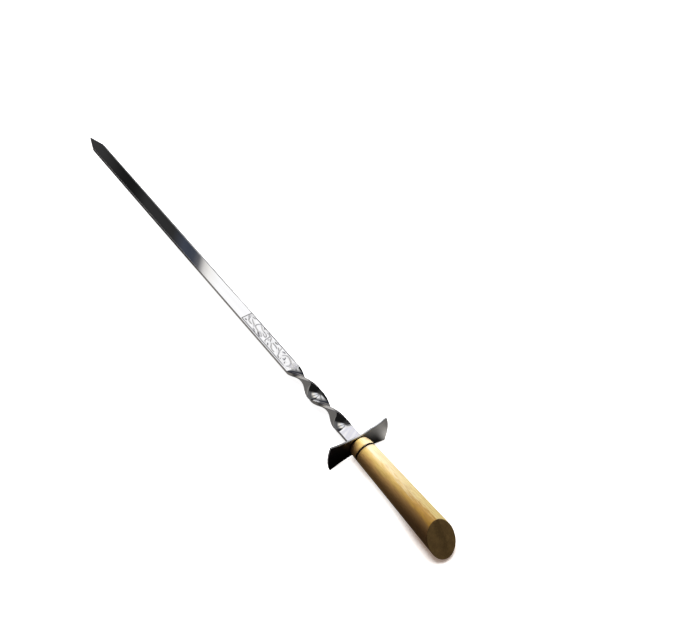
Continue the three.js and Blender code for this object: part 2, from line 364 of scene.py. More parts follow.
def stem(half, depth, *places, steps=12):
    """A smooth line through the places: between two of them, a cubic whose slopes come from their neighbours.

    Along it, the half width swells from 0.45 of the given one to 0.9 in the middle, and the depth stays.
    """
    p = np.reshape(places, (-1, 2)).astype(float)
    p = np.vstack([2 * p[0] - p[1], p, 2 * p[-1] - p[-2]])
    t = np.linspace(0, 1, steps)[None, :, None]
    a, b, c, d = (p[i : len(p) - 3 + i, None, :] for i in range(4))
    run = 0.5 * (2 * b + (c - a) * t + (2 * a - 5 * b + 4 * c - d) * t**2 + (3 * b - a - 3 * c + d) * t**3)
    run = run.reshape(-1, 2)
    swell = half * 0.45 * (1 + np.sin(np.linspace(0, math.pi, len(run))))
    return np.column_stack([run, swell, np.full(len(run), depth)])


STEMS = (
    # half width, depth, then the points: along the bar from the frame's far side and across it, in mm
    (0.3, 0.8, 4.5, 3, 6.5, 3.5, 8, 4),
    (0.28, 0.6, 0.3, 1.9, 2, 0.7, 4, -0.3, 5, -1.3, 7, -2.1, 11, -2),
    (0.34, 0.95, 2.5, -3.2, 3.5, -3.3, 4.5, -3.3),
    (0.2, 0.7, 6.5, 1.5, 9, 0.4, 10.5, -0.2, 12.5, -0.7, 14.5, -2.1),
    (0.3, 0.6, 16, 4.2, 14.5, 2.7, 14, 1, 14.8, -0.6, 17, -1.5, 20, -1.8, 22, -2.6),
    (0.62, 0.95, 21.6, -2.5, 24, -3.5, 26.6, -4.2),
    (0.24, 0.5, 26.4, -4, 27.6, -3.4, 27, -2.2, 24.6, -1.4),
    (0.26, 0.5, 16.5, 4, 18.5, 3.3, 20.5, 2.3, 22, 1.9, 24.5, 1.7),
    (0.34, 0.85, 24.9, 1.7, 25.3, 1.7, 25.7, 1.7),
    (0.34, 0.95, 20.5, 5.1, 21.6, 4.1, 22.7, 3.6),
    (0.3, 0.8, 15.8, -3.6, 16.9, -3.8, 17.9, -3.7),
    (0.34, 0.9, 17.9, -4.6, 19, -4.9, 20.1, -4.8),
    (0.28, 0.62, 25.5, 1.7, 28, 1.5, 29.7, 0.7, 30.5, -0.3, 30, -0.9, 28, -0.6, 26, -0.1),
    (0.4, 0.85, 28.6, 3.8, 29.1, 3.9, 29.6, 3.9),
    (0.3, 0.58, 27, 3.4, 30, 3.7, 31.5, 2.9, 32.2, 1.7, 32.4, -0.3, 32.8, -1.8, 33.6, -3.2, 35.2, -3.7),
    (0.28, 0.6, 31, 3.5, 33, 3.3, 34.5, 2.5, 36, 0.9, 37.2, 0),
    (0.15, 0.4, 33.5, 0.3, 34.3, 0.6, 34.9, 0, 34.5, -0.7, 33.7, -0.5),
    (0.45, 0.8, 39.8, 3.3, 41.5, 3.1, 43.2, 3.8),
    (0.3, 0.75, 39.5, 1, 42, 1, 44.5, 0.9, 46.6, 0.4),
    (0.32, 0.7, 38.8, -0.3, 40.5, -1.3, 42, -2.5, 44, -3.2, 46, -3.6, 48.2, -3.5),
    (0.34, 0.95, 36.9, -2.7, 37.9, -3.1, 38.9, -3.7),
    (0.3, 0.7, 46.5, 2, 48.5, 1, 50, 0.5, 51.5, -0.8, 52.6, -1.9),
    (0.18, 0.5, 48.4, 3.8, 49.5, 2.2, 50, 0.7),
    (0.5, 0.85, 52.2, 2.5, 53.6, 3, 55, 3.3),
    (0.34, 0.95, 52.9, -2.8, 54.5, -3.5, 55.9, -3.9),
    (0.55, 0.55, 55.7, 0.2, 56.5, 1.7, 58.5, 3, 61, 3.2, 63.5, 2.6, 65.5, 2, 67, 0.7, 68, -0.8, 68, -2.3, 67, -3.5),
    (0.34, 0.95, 59, 0.8, 59.9, -0.6, 60.3, -1.5, 58.4, -1.3),
    (0.32, 0.55, 62.4, -2, 62.9, -2.8, 63.4, -3.5),
    (0.18, 0.45, 57, -2.3, 57.3, -3.3, 57.6, -4.3),
    (1.7, 0.42, 68.4, 3.6, 69.2, 1, 69.6, -1.6),
    (1.7, 0.46, 70.6, 4.2, 71.4, 1.6, 72, -1),
    (0.8, 0.45, 0.6, 3.2, 2, 1.9, 3.6, 0.8),
    (0.9, 0.4, 22.4, -1.4, 24.6, -2, 27, -3.4),
)
ISLANDS = (
    # where the ground stays polished: middle along and across, half length, half width, in mm
    (3.9, 4.3, 2.2, 0.5), (6, 0, 1.1, 0.6), (9, -1, 1.3, 0.5), (4, -1.7, 0.8, 0.7), (7, -3.6, 0.9, 0.6),
    (12, -3.4, 1.6, 0.8), (12, 2.9, 2.4, 1.6), (18.8, 0.6, 3, 1.3), (20, -3.8, 1.4, 0.4), (25.3, 0.5, 1.6, 0.5),
    (31.2, 1, 0.6, 1.2), (34.4, -0.6, 1.2, 1.7), (31.2, -3, 1.8, 1.2), (36.4, 3.8, 1.4, 0.8),
    (42.6, -0.4, 1.6, 0.8), (46.2, -1.6, 2.3, 0.9), (45.6, 2.7, 1.8, 0.7), (51, 3.2, 1.4, 1.3),
    (50.4, -3.7, 1.7, 0.8), (53.3, 0.4, 1, 0.8), (54.6, -1.9, 1, 0.7), (62.4, 0.3, 2, 1.2), (65.6, -1, 0.9, 2),
    (60, 4.3, 3.2, 0.35), (70.6, -4, 1.8, 0.8), (39.4, -4.1, 2.2, 0.4), (24.6, 4.5, 2.4, 0.5),
)
WORN = (
    # millimetres before the twist, and the bevel's size there as a share of its width and drop
    (0, 0), (6, 1.2), (60, 1.2), (71, 1), (76, 0.45), (90, 0.55), (112, 1.3), (140, 1.3),
)


def cut_depth(scroll, x, y):
    """How deep the engraving is at each point of the grid, as a share from nought to one.

    A point's distance to the nearest stroke, less that stroke's half width, falls from the stroke's depth to
    none over the softness. The ground between is lightly frosted, and falls to none towards the middle of the
    islands. The frame is the distance to its far side and its two long lines, and the hatching over these
    lines a slanted wave along the bar. Both fade out before the scroll ends.
    """
    s, t = (x + scroll.start) / MM, (y - scroll.offset) / MM
    soft, half, pitch = scroll.soft / MM, scroll.line_half / MM, scroll.hatch / MM
    length, side = scroll.length / MM, scroll.frame_half / MM
    off = np.abs(t)
    strokes = np.vstack([stem(*row) for row in STEMS])
    strokes = strokes[np.argsort(strokes[:, 0])]
    cut = np.zeros(t.shape)
    reach, at_once = 2.2, 8
    for start in range(0, len(s), at_once):
        block = slice(start, start + at_once)
        low, high = np.searchsorted(strokes[:, 0], [s[block].min() - reach, s[block].max() + reach])
        if high > low:
            part = strokes[low:high]
            away = np.hypot(s[block, :, None] - part[:, 0], t[block, :, None] - part[:, 1]) - part[:, 2]
            cut[block] = (part[:, 3] * rise(away, soft, 0)).max(-1)
    ground, shore = np.ones(t.shape), (0.8, 1.4)
    for along, across, long, wide in ISLANDS:
        ground = np.minimum(ground, rise(np.hypot((s - along) / long, (t - across) / wide), *shore))
    within = rise(off, side, side - soft) * rise(s, 0, soft) * rise(s, length, length - 2)
    cut = np.maximum(cut * (off < side), ground * scroll.ground * within)
    fade = rise(s, length - 5, length - 13)
    too_far, long_line_depth = 9, 0.7
    edge = np.minimum(np.abs(off - side) + too_far * (s < 0), np.hypot(s, np.maximum(off - side, 0)))
    framed = rise(edge, half + soft, half) * fade * np.where(s < 1, 1, long_line_depth)
    slant, fullness, inwards, band_half = 0.5, 0.45, 0.15, 0.35
    hatch = np.clip(fullness + np.cos(2 * math.pi * (s + t * slant) / pitch), 0, 1) * fade
    band = rise(np.abs(off - side + inwards), band_half, 0.2) * (s > 0)
    return np.maximum(cut, np.maximum(framed, hatch * band))


def blade_mesh(place, bar, scroll):
    """The whole bar as sections carried along it.

    A section is a rectangle with round edges, its half width that of the bar there, its flats lowered by the
    dish times one less the square of the share across, turned about the axis by the twist's angle. The
    engraving lowers the upper flat by the cut's depth, and the bevel by a straight fall towards the edge, wider
    in the stretches where the belt took more off. The neck's flats are lowered by a slanted sine wave.
    """
    columns = 111
    x = bar_stations(bar, scroll)[:, None]
    share_y, part_y, share_z, part_z, narrow = bar_section(columns)
    half_y, half_z, edge = bar_half_width(bar, x), bar.thickness / 2, bar.edge_radius
    radius = np.minimum(edge, half_y / 2)
    y = share_y * (half_y - radius) + part_y * radius
    z = share_z * (half_z - radius) + part_z * radius
    face = np.sign(part_z) * (narrow == 0)
    neck = rise(x, -bar.neck_length, 2 * MM - bar.neck_length)
    turn_along, turn_across = 0.9 / MM, 0.5 / MM
    wave = np.sin(x * turn_along + y * turn_across) - 1
    z = z - face * bar.dish * (1 - share_y**2) + face * neck * bar.ripple * wave
    cut = np.zeros(y.shape)
    cut[:, :columns] = cut_depth(scroll, x, y[:, :columns])
    worn, least = np.interp(-(x + bar.neck_length + bar.twist_length) / MM, *zip(*WORN)), 0.01
    wide, flat_end = np.maximum(worn, least) * bar.bevel_width, half_y - radius
    bevel = rise(y, flat_end - wide, flat_end) * worn * (part_z > 0)
    z = z - cut * scroll.depth - bevel * bar.bevel_drop
    seat = -1.05 * MM
    tang_x = np.array([seat, seat, 0.4 * MM, 20 * MM, 40 * MM, bar.tang_reach - bar.tang_point, bar.tang_reach])
    tang_half = np.array([bar.width, *[bar.tang_width] * 5, bar.tang_end])[:, None] / 2
    tang_y = share_y * (tang_half - edge) + part_y * edge
    tang_z = np.broadcast_to(share_z * (half_z - edge) + part_z * edge, tang_y.shape)
    x, y, z = np.vstack([x, tang_x[:, None]]), np.vstack([y, tang_y]), np.vstack([z, tang_z])
    turn = twist_angle(bar, x)
    rings = in_place(place, x, y * np.cos(turn) - z * np.sin(turn), y * np.sin(turn) + z * np.cos(turn))
    mesh = skin("blade_steel", rings, rings[0].mean(0), rings[-1].mean(0))
    twisted = rise(np.minimum(-x - bar.neck_length, x + bar.neck_length + bar.twist_length), -2 * MM, 0)
    mark(mesh, rings, engraved=np.vstack([cut, np.zeros(tang_y.shape)]), narrow=narrow, twisted=twisted)
    return mesh


def guard_outline(guard, per_side=72, per_corner=5):
    """The guard's outline, counter-clockwise from its lower right: four arcs with a parabola at each corner.

    The ends are arcs that bulge out, and the long sides arcs hollow towards the middle, through the waist and
    both corners. A corner runs from one arc's end to the next one's start with the corner as its control point.
    """
    y, z = guard.corner_y, guard.corner_z
    dip, bulge = z - guard.waist_z, guard.end_bulge
    long_radius, end_radius = (y**2 + dip**2) / (2 * dip), (z**2 + bulge**2) / (2 * bulge)
    long_half = math.asin(y / long_radius) - guard.corner_trim / long_radius
    end_half = math.asin(z / end_radius) - guard.corner_trim / end_radius
    a, b = np.linspace(-end_half, end_half, per_side), np.linspace(long_half, -long_half, per_side)
    end = np.stack([y + bulge - end_radius + end_radius * np.cos(a), end_radius * np.sin(a)], axis=-1)
    long = np.stack([long_radius * np.sin(b), guard.waist_z + long_radius - long_radius * np.cos(b)], axis=-1)
    sides = [end, long, -end, -long]
    corners = np.array([(y, z), (-y, z), (-y, -z), (y, -z)])
    t = np.linspace(0, 1, per_corner + 2)[1:-1, None]
    runs = []
    for side, corner, after in zip(sides, corners, sides[1:] + sides[:1]):
        runs += [side, parabola(side[-1], corner, after[0], t)]
    return np.vstack(runs)


def guard_mesh(place, guard, bar):
    """The plate as a closed ring of sections, each from the slot out over one face, round the rim and back.

    A row is the outline drawn in: from the slot's rectangle, met by the same ray from the middle, to the
    outline less the edge radius, then a half circle over the rim.
    """
    rim = guard_outline(guard)
    slot_half = np.array([bar.tang_width / 2 + guard.fit_gap, bar.thickness / 2 + guard.fit_gap])
    slot = rim / np.max(np.abs(rim) / slot_half, axis=1, keepdims=True)
    along = np.roll(rim, -1, axis=0) - np.roll(rim, 1, axis=0)
    normal = np.stack([along[:, 1], -along[:, 0]], axis=-1) / np.linalg.norm(along, axis=1, keepdims=True)
    half, edge = guard.thickness / 2, guard.edge_radius
    inner = rim - normal * edge
    shares = np.array([0, 0.25, 0.5, 0.75, 0.9, 0.985, 1.0])
    bend = np.radians([18, 36, 54, 72, 90])
    rows = [(slot + (inner - slot) * s, half) for s in shares]
    rows += [(inner + normal * edge * math.sin(b), half - edge * (1 - math.cos(b))) for b in bend]
    rows += [(points, -x) for points, x in rows[::-1]]
    rings = np.stack([in_place(place, x, points[:, 0], points[:, 1]) for points, x in rows])
    mesh = skin("guard_steel", rings)
    flat_rows = len(shares) + 1
    polished = np.zeros((len(rings), 1))
    polished[flat_rows:-flat_rows] = 1
    mark(mesh, rings, rim=polished)
    return mesh


def handle_mesh(place, handle, guard):
    """The turned handle: a profile of radius and place along the axis, carried round it.

    It starts at the tip of the drilled hole, runs out along the bore, over the face and the quarter ellipse
    of the nose, through the groove and along the taper, whose radius is its base plus its rate times x. The
    slanted end's plane cuts the taper where x is the reach less the height times the slant's tangent, so each
    angle has its own last stretch. A parabola with that cut as its control point eases the edge, and the end
    runs in to the axis.
    """
    around = 160
    a = np.linspace(0, 2 * math.pi, around, endpoint=False)
    cos, sin = np.cos(a), np.sin(a)
    rate = (handle.end_radius - handle.front_radius) / (handle.reach - handle.ring_reach)
    base = handle.front_radius - rate * handle.ring_reach

    def carried(x, radius):
        return np.stack(np.broadcast_arrays(x, radius * cos, radius * sin), axis=-1)

    seat = guard.thickness / 2 + guard.fit_gap
    cone = handle.hole_radius / math.tan(handle.drill_angle / 2)
    bore = spread(handle.hole_reach, seat, 8 * MM)
    face = np.linspace(handle.hole_radius, handle.nose_radius, 5)[1:]
    bend = np.radians(np.linspace(0, 90, 22))[1:]
    swell = base + rate * (seat + handle.nose_length) - handle.nose_radius
    groove = np.linspace(-1.5, 1.5, 25)
    ring = handle.ring_reach + groove * handle.ring_width / 2
    dip = handle.ring_depth * np.cos(math.pi / 2 * np.clip(groove, -1, 1)) ** 2
    profile = (
        ([handle.hole_reach + cone / 2], [handle.hole_radius / 2]),
        (bore, np.full(len(bore), handle.hole_radius)),
        (np.full(len(face), seat), face),
        (seat + handle.nose_length * (1 - np.cos(bend)), handle.nose_radius + swell * np.sin(bend)),
        (ring, base + rate * ring - dip),
    )
    front = carried(*(np.concatenate(part)[:, None] for part in zip(*profile)))
    slant = math.tan(handle.end_slant)
    cut = (handle.reach - base * sin * slant) / (1 + rate * sin * slant)
    brim = carried(cut, base + rate * cut)
    shares = np.append(np.linspace(0, 0.96, 44)[1:], (0.985, 1))[:, None]
    x = ring[-1] + (cut - handle.end_edge - ring[-1]) * shares
    taper = carried(x, base + rate * x)
    centre = np.array([handle.reach, 0, 0])
    inwards = (centre - brim) / np.linalg.norm(centre - brim, axis=1, keepdims=True)
    within = brim + inwards * handle.end_edge
    eased = parabola(taper[-1], brim, within, np.linspace(0.2, 1, 5)[:, None, None])
    end = centre + (within - centre) * np.array([0.985, 0.9, 0.75, 0.6, 0.45, 0.3, 0.15])[:, None, None]
    grid = np.concatenate([front, taper, eased, end])
    rings = in_place(place, *np.moveaxis(grid, -1, 0))
    tip = in_place(place, handle.hole_reach + cone, 0, 0)
    mesh = skin("handle_wood", rings, tip, in_place(place, handle.reach, 0, 0))
    burnt = np.zeros(len(grid))
    burnt[len(front) - len(ring) : len(front)] = rise(np.abs(groove), 1.6, 1.3)
    mark(mesh, rings, burnt=burnt[:, None])
    turned_rows = len(front) + len(taper)
    mark(mesh, rings, last=1, stained=rise(np.arange(len(grid)), turned_rows, turned_rows + 2)[:, None])
    return mesh


# Finishes


class Value:
    """A node's output that sums can be made with; each sum adds the node that works it out."""

    def __init__(self, nodes, socket):
        self.nodes, self.socket = nodes, socket

    def __add__(self, other):
        return self.nodes.math("ADD", self, other)

    def __sub__(self, other):
        return self.nodes.math("SUBTRACT", self, other)

    def __rsub__(self, other):
        return self.nodes.math("SUBTRACT", other, self)

    def __mul__(self, other):
        return self.nodes.math("MULTIPLY", self, other)

    def __abs__(self):
        return self.nodes.math("ABSOLUTE", self)

    def larger(self, other):
        return self.nodes.math("MAXIMUM", self, other)

    def ramp(self, low, high, to_low=0, to_high=1):
        """The value carried from one range to another, smoothly, and held outside it."""
        inputs = dict(enumerate((self, low, high, to_low, to_high)))
        return self.nodes.out(0, "MapRange", inputs, interpolation_type="SMOOTHSTEP")


class Nodes:
    """Adds and wires the nodes of one node tree."""

    def __init__(self, tree):
        self.tree = tree

    def give(self, node, inputs):
        """Links each input to the value given, or sets its own, a colour with full alpha."""
        for key, value in (inputs or {}).items():
            socket = node.inputs[key]
            if isinstance(value, Value):
                self.tree.links.new(value.socket, socket)
            else:
                socket.default_value = (*value, 1) if socket.type == "RGBA" else value

    def add(self, kind, inputs=None, **settings):
        """A shader node with its settings; inputs go by name or number."""
        node = self.tree.nodes.new("ShaderNode" + kind)
        for key, value in settings.items():
            setattr(node, key, value)
        self.give(node, inputs)
        return node

    def outputs(self, node):
        """All outputs of a node, by name."""
        return {socket.name: Value(self, socket) for socket in node.outputs}

    def out(self, output, kind, inputs=None, **settings):
        """One output of a new node."""
        return Value(self, self.add(kind, inputs, **settings).outputs[output])

    def math(self, operation, first, second=0):
        return self.out(0, "Math", {0: first, 1: second}, operation=operation)

    def vector(self, operation, first, second=(0, 0, 0), output="Vector"):
        return self.out(output, "VectorMath", {0: first, 1: second}, operation=operation)

    def mix(self, factor, first, second, blend="MIX"):
        """Two colours mixed by a share."""
        return self.out(2, "Mix", {0: factor, 6: first, 7: second}, data_type="RGBA", blend_type=blend)

    def parts(self, vector):
        return self.outputs(self.add("SeparateXYZ", {0: vector})).values()

    def noise(self, vector, scale, detail, roughness):
        inputs = {"Vector": vector, "Scale": scale, "Detail": detail, "Roughness": roughness}
        return self.out("Fac", "TexNoise", inputs)

    def group(self, name, inputs):
        """A shared group's outputs."""
        return self.outputs(self.add("Group", inputs, node_tree=bpy.data.node_groups[name]))

    def placed(self, *stretch):
        """Places in the bar frame in millimetres, stretched along its axes."""
        return self.group("bar_frame", {"Stretch": stretch})["Vector"]

    def grain(self, stretch, detail, roughness):
        """Noise in the bar frame."""
        return self.noise(self.placed(*stretch), 1, detail, roughness)

    def mask(self, name):
        """A number kept on the mesh."""
        return self.out("Fac", "Attribute", attribute_name=name, attribute_type="GEOMETRY")

    def bump(self, height, strength, distance):
        return self.out(0, "Bump", {"Strength": strength, "Distance": distance, "Height": height})


def new_group(name, inputs, outputs):
    """A shader node group with sockets of the kinds given; gives its nodes, its inputs' values and its end."""
    tree = bpy.data.node_groups.new(name, "ShaderNodeTree")
    for way, sockets in (("INPUT", inputs), ("OUTPUT", outputs)):
        for label, kind in sockets.items():
            tree.interface.new_socket(name=label, in_out=way, socket_type="NodeSocket" + kind)
    nodes = Nodes(tree)
    return nodes, nodes.outputs(tree.nodes.new("NodeGroupInput")), tree.nodes.new("NodeGroupOutput")


def bar_frame_group(place):
    """Object coordinates moved and turned into the bar frame, in millimetres, and stretched."""
    nodes, given, end = new_group("bar_frame", {"Stretch": "Vector"}, {"Vector": "Vector"})
    spot = nodes.out("Object", "TexCoord")
    spot = nodes.vector("SUBTRACT", spot, (place.guard_x, 0, place.guard_z))
    spot = nodes.out(0, "VectorRotate", {"Vector": spot, "Angle": place.slope}, rotation_type="Y_AXIS")
    spot = nodes.vector("MULTIPLY", spot, (1 / MM, 1 / MM, 1 / MM))
    nodes.give(end, {"Vector": nodes.vector("MULTIPLY", spot, given["Stretch"])})


def polish_group():
    """Polished steel's small faults: fine lines left by the last pass of the belt and cloudy wipe marks."""
    wanted = {"Along": "Vector", "Base Roughness": "Float", "Amount": "Float"}
    made = {"Roughness": "Float", "Height": "Float", "Tone": "Float"}
    nodes, given, end = new_group("polish_marks", wanted, made)
    lines = nodes.noise(given["Along"], 1, 5, 0.6)
    wide = nodes.noise(given["Along"], 0.12, 2, 0.5)
    rough = (lines * 0.6 + wide * 0.4 - 0.5) * given["Amount"] + given["Base Roughness"]
    least = 0.012
    tone = wide.ramp(0.3, 0.7, 0.965, 1)
    nodes.give(end, {"Roughness": rough.larger(least), "Height": lines, "Tone": tone})


def shared_groups(place):
    """Makes the node groups that the finishes share, once."""
    if "bar_frame" not in bpy.data.node_groups:
        bar_frame_group(place)
        polish_group()


def new_material(name):
    """A node material; gives its nodes, its shader and the material."""
    material = bpy.data.materials.new(name)
    material.use_nodes = True
    shader = next(n for n in material.node_tree.nodes if n.type == "BSDF_PRINCIPLED")
    return Nodes(material.node_tree), shader, material


def bar_wear(steel, nodes, tint, rough):
    """On the bar, the scroll's cuts are frosted, the narrow sides are ground and the twisted stretch is duller."""
    cut, narrow, twisted = (nodes.mask(name) for name in ("engraved", "narrow", "twisted"))
    patch = nodes.grain((0.35, 0.6, 0.6), 2, 0.5).ramp(0.42, 0.62)
    etched = nodes.mix(patch, steel.cut_cool, steel.cut_warm)
    cut = cut * nodes.grain((1.1, 1.5, 1.5), 3, 0.6).ramp(0.4, 0.58, 0.45, 1)
    # Painted reflection: the rounded edges take a dark tint for the dark line they mirror.
    edge = nodes.mix(narrow.ramp(0.5, 1), steel.edge_dark_reflection, steel.side_tint)
    tint = nodes.mix(cut, nodes.mix(narrow.ramp(0.1, 0.5), tint, edge), etched)
    least = ((cut, steel.cut_roughness), (twisted, steel.twist_roughness), (narrow, steel.side_roughness))
    for mask, roughness in least:
        rough = rough.larger(mask * roughness)
    return tint, rough


def rim_polish(steel, nodes, tint, rough):
    """The guard's rim is polished bright."""
    rim, smoother = nodes.mask("rim"), 0.85 * steel.guard_roughness
    return nodes.mix(rim, tint, steel.tint), rough - rim * smoother


def steel_material(name, steel, base, roughness, stretch, relief, wear):
    """Polished steel of a base colour with belt lines along the stretch, whose tint and roughness the wear changes."""
    nodes, shader, material = new_material(name)
    fine = 0.00001
    inputs = {"Along": nodes.placed(*stretch), "Base Roughness": roughness, "Amount": roughness / 2}
    marks = nodes.group("polish_marks", inputs)
    tint, rough = wear(steel, nodes, nodes.mix(1, base, marks["Tone"], "MULTIPLY"), marks["Roughness"])
    normal = nodes.bump(marks["Height"], relief, fine)
    nodes.give(shader, {"Metallic": 1, "Base Color": tint, "Roughness": rough, "Normal": normal})
    return material


def wood_material(wood):
    """Turned hardwood: pale sapwood beside golden heartwood, a painted highlight on the lit side, redder painted shade
    on the left, growth layers, pores, scorch and stain.

    Places are millimetres in the bar frame: x behind the guard's middle, y to the right, z up.
    """
    nodes, shader, material = new_material("handle_wood")
    x, y, z = nodes.parts(nodes.placed(1, 1, 1))
    drift = nodes.grain((0.05, 0.16, 0.16), 3, 0.5) - 0.5
    side = y + drift * 5

    # A layer is where the distance from a line beside the handle, less a share of x, is the same.
    layers_per_mm, arch = 0.42, 0.16
    across, up = y + 3, z - 12.5
    away = nodes.math("SQRT", across * across + up * up)
    ragged = nodes.grain((0.22, 0.7, 0.7), 3, 0.6) * 3 + drift * 7
    layer = nodes.math("FRACT", (away - x * arch + ragged) * layers_per_mm)
    late = layer.ramp(0.2, 0.8) * layer.ramp(1, 0.8)
    late = late * x.ramp(44, 68, 0.12, 1) * side.ramp(6, 1.5, 0.12, 0.3)

    # The sapwood's border is ragged by slanted streaks and moves right towards the end.
    slanted = nodes.out(0, "CombineXYZ", {"X": x * 0.085, "Y": x * 0.07 + y, "Z": z * 0.8})
    streak = nodes.noise(slanted, 0.9, 4, 0.6)
    border = side - x.ramp(32, 46, 0, 0.8) - x.ramp(56, 90, 0, 2.2) + (streak - 0.5) * 11
    # Painted light along the handle: paler and creamier near the guard as a painted highlight, more saturated and
    # darker towards the end as a painted falloff.
    along = x.ramp(24, 88)
    pale, warm, red = (
        nodes.mix(along, near, far)
        for near, far in ((wood.pale, wood.pale_end), (wood.warm, wood.warm_end), (wood.red, wood.red_shade_end))
    )
    # Pale sapwood on the lit right beside golden heartwood: partly the wood's figure, partly a painted highlight on the
    # lit side.
    body = nodes.mix(border.ramp(0.6, -3.2), pale, warm)
    # Painted shade: the handle's left, away from the lamps, turns redder and darker.
    body = nodes.mix(side.ramp(-4, -7), body, red)
    # Painted shade: the nose's sides darken next to the guard, which shades them.
    nose_shade = x.ramp(8, 3) * abs(y).ramp(1, 6.5) * 0.85
    body = nodes.mix(nose_shade, body, wood.nose_shade)

    # Dark flames run up the middle, strongest near the end, and fine pores lie all over.
    flame = x.ramp(50, 84, 0.25, 1) * abs(side - 0.3).ramp(4, 0.8) * streak.ramp(0.5, 0.4)
    body = nodes.mix(late.larger(flame * 0.6), body, wood.dark)
    pores = nodes.grain((0.11, 1, 1), 4, 0.65).ramp(0.45, 0.7)
    body = nodes.mix(pores * 0.34, body, wood.dark)

    # The stained end is specked, clouded and darker along a band down its middle.
    stained, burnt = nodes.mask("stained"), nodes.mask("burnt")
    speck = nodes.grain((0.5, 0.9, 0.9), 5, 0.7).ramp(0.35, 0.68)
    cloud = nodes.grain((0.12, 0.2, 0.2), 3, 0.6).ramp(0.38, 0.62)
    deep = speck * 0.45 + cloud * 0.35 + abs(y - 0.5).ramp(5, 1) * 0.4
    body = nodes.mix(stained, body, nodes.mix(deep, wood.stain, wood.stain_dark))
    body = nodes.mix(burnt, body, wood.scorch)
    changed = burnt.larger(stained)
    bare = 1 - changed
    inputs = {
        "Base Color": body,
        "Roughness": (pores * 0.1 + 0.48).larger(changed * 0.8),
        "Coat Roughness": 0.48,
        "Coat Weight": bare * 0.12,
        "Specular IOR Level": bare * 0.2 + 0.1,
        "Normal": nodes.bump(0 - pores, 0.3, 0.00005),
    }
    nodes.give(shader, inputs)
    return material


def resin_material(resin):
    """Cured resin, clouded by trapped air."""
    nodes, shader, material = new_material("tang_resin")
    cloud = nodes.grain((0.5, 0.5, 0.5), 4, 0.6)
    tint = nodes.mix(cloud.ramp(0.35, 0.65), resin.clear, resin.cloudy)
    rough, normal = cloud.ramp(0.3, 0.7, 0.25, 0.5), nodes.bump(cloud, 0.2, 0.0001)
    nodes.give(shader, {"Base Color": tint, "Roughness": rough, "Normal": normal})
    return material


# Stage


def empty_tree(owner):
    """The nodes of a material or a world, with none in it yet."""
    owner.use_nodes = True
    owner.node_tree.nodes.clear()
    return Nodes(owner.node_tree)


def rays(nodes):
    """Two masks: rays that the camera sees straight or through a clear piece, and rays that steel mirrors."""
    path = nodes.outputs(nodes.add("LightPath"))
    return path["Is Camera Ray"].larger(path["Is Transmission Ray"]), path["Is Glossy Ray"]


def floor_material(stage):
    """A white floor that takes the skewer's shadow.

    The camera sees it lifted to white along the blade and far away, and less near the handle, so that the
    shadow shows under the nose and by the handle's end. What it throws back on the skewer is held down.
    Polished steel sees a painted reflection of it, grey, and behind the guard a painted shadow of the handle,
    dark by the handle and brighter away from it. Places are metres in the part's frame.
    """
    material = bpy.data.materials.new("floor")
    nodes = empty_tree(material)
    seen, glossy = rays(nodes)
    bounce = nodes.mix(seen, [stage.floor_bounce] * 3, stage.floor)
    plain = nodes.out(0, "BsdfDiffuse", {"Color": bounce})
    spot = nodes.out("Object", "TexCoord")
    x, y, _ = nodes.parts(spot)
    under_nose = x.ramp(0.179, 0.184) * x.ramp(0.207, 0.198)
    far = nodes.vector("LENGTH", spot, output="Value").ramp(0.7, 1.2)
    # The warm lifts tint the floor's shadow as painted warm bounce light.
    lifts = (
        # by the guard, along the blade, under the nose and far away
        (x.ramp(0.27, 0.225), (0.72, 0.69, 0.66)),
        (x.ramp(0.19, 0.15), (0.9, 0.9, 0.9)),
        (under_nose, (0.58, 0.53, 0.49)),
        (far, (1, 1, 1)),
    )
    shown = stage.floor_lift
    for mask, tone in lifts:
        shown = nodes.mix(mask, shown, tone)
    lift = nodes.out(0, "Emission", {"Color": shown, "Strength": seen})
    both = nodes.out(0, "AddShader", {0: plain, 1: lift})
    # What polished steel sees of the floor is a painted reflection: dark then grey along the blade, and behind the
    # guard a painted shadow of the handle, dark near it and brighter away from it.
    behind_guard = x.ramp(0.176, 0.18)
    ahead = x.ramp(-0.08, -0.05, 0.02, 0.3) - x.ramp(0.07, 0.1, 0, 0.13)
    bright = x.ramp(0.184, 0.193, 0.97, 0.16) * y.ramp(0.022, 0.033)
    bright = bright * y.ramp(0.034, 0.037, 1, 0.35)
    dim = x.ramp(0.187, 0.198, 0.01, 0.2) * y.ramp(0.012, 0.022, 0.02, 1)
    tone = nodes.out(0, "Mix", {0: behind_guard, 2: ahead, 3: bright + dim}, data_type="FLOAT")
    mirrored = nodes.out(0, "Emission", {"Color": (1, 0.96, 0.91), "Strength": tone})
    whole = nodes.out(0, "MixShader", {0: glossy, 1: both, 2: mirrored})
    nodes.add("OutputMaterial", {"Surface": whole})
    return material


# The room's tones: a height in degrees, then a grey or a colour
SKY_AHEAD = (
    (0, 0.035, 0.04, 0.055), (27, 0.035, 0.04, 0.055), (32, 0.05), (35, 0.045), (36.3, 0.012), (37.1, 0.015),
    (37.6, 0.035), (39.6, 0.035), (39.9, 0.065, 0.075, 0.1), (40.7, 0.05, 0.06, 0.085), (41, 0.12, 0.125, 0.14),
    (41.2, 0.17, 0.17, 0.18), (41.25, 0.68, 0.67, 0.64), (41.5, 0.84, 0.82, 0.79), (41.8, 1.1, 1.08, 1.04),
    (42.5, 1.25), (48, 1.25), (51, 1.14, 1.12, 1.12), (54, 0.93, 0.93, 1.03), (58, 1.02, 1, 0.97), (70, 0.8),
    (78, 0.25), (90, 0.06),
)
SKY_LEFT = (
    (0, 0.06), (8, 0.035, 0.04, 0.06), (14, 0.04, 0.045, 0.065), (22, 0.17), (34, 0.46), (45, 0.75), (60, 0.85),
    (68, 0.6), (75, 0.25), (82, 0.09), (90, 0.06),
)
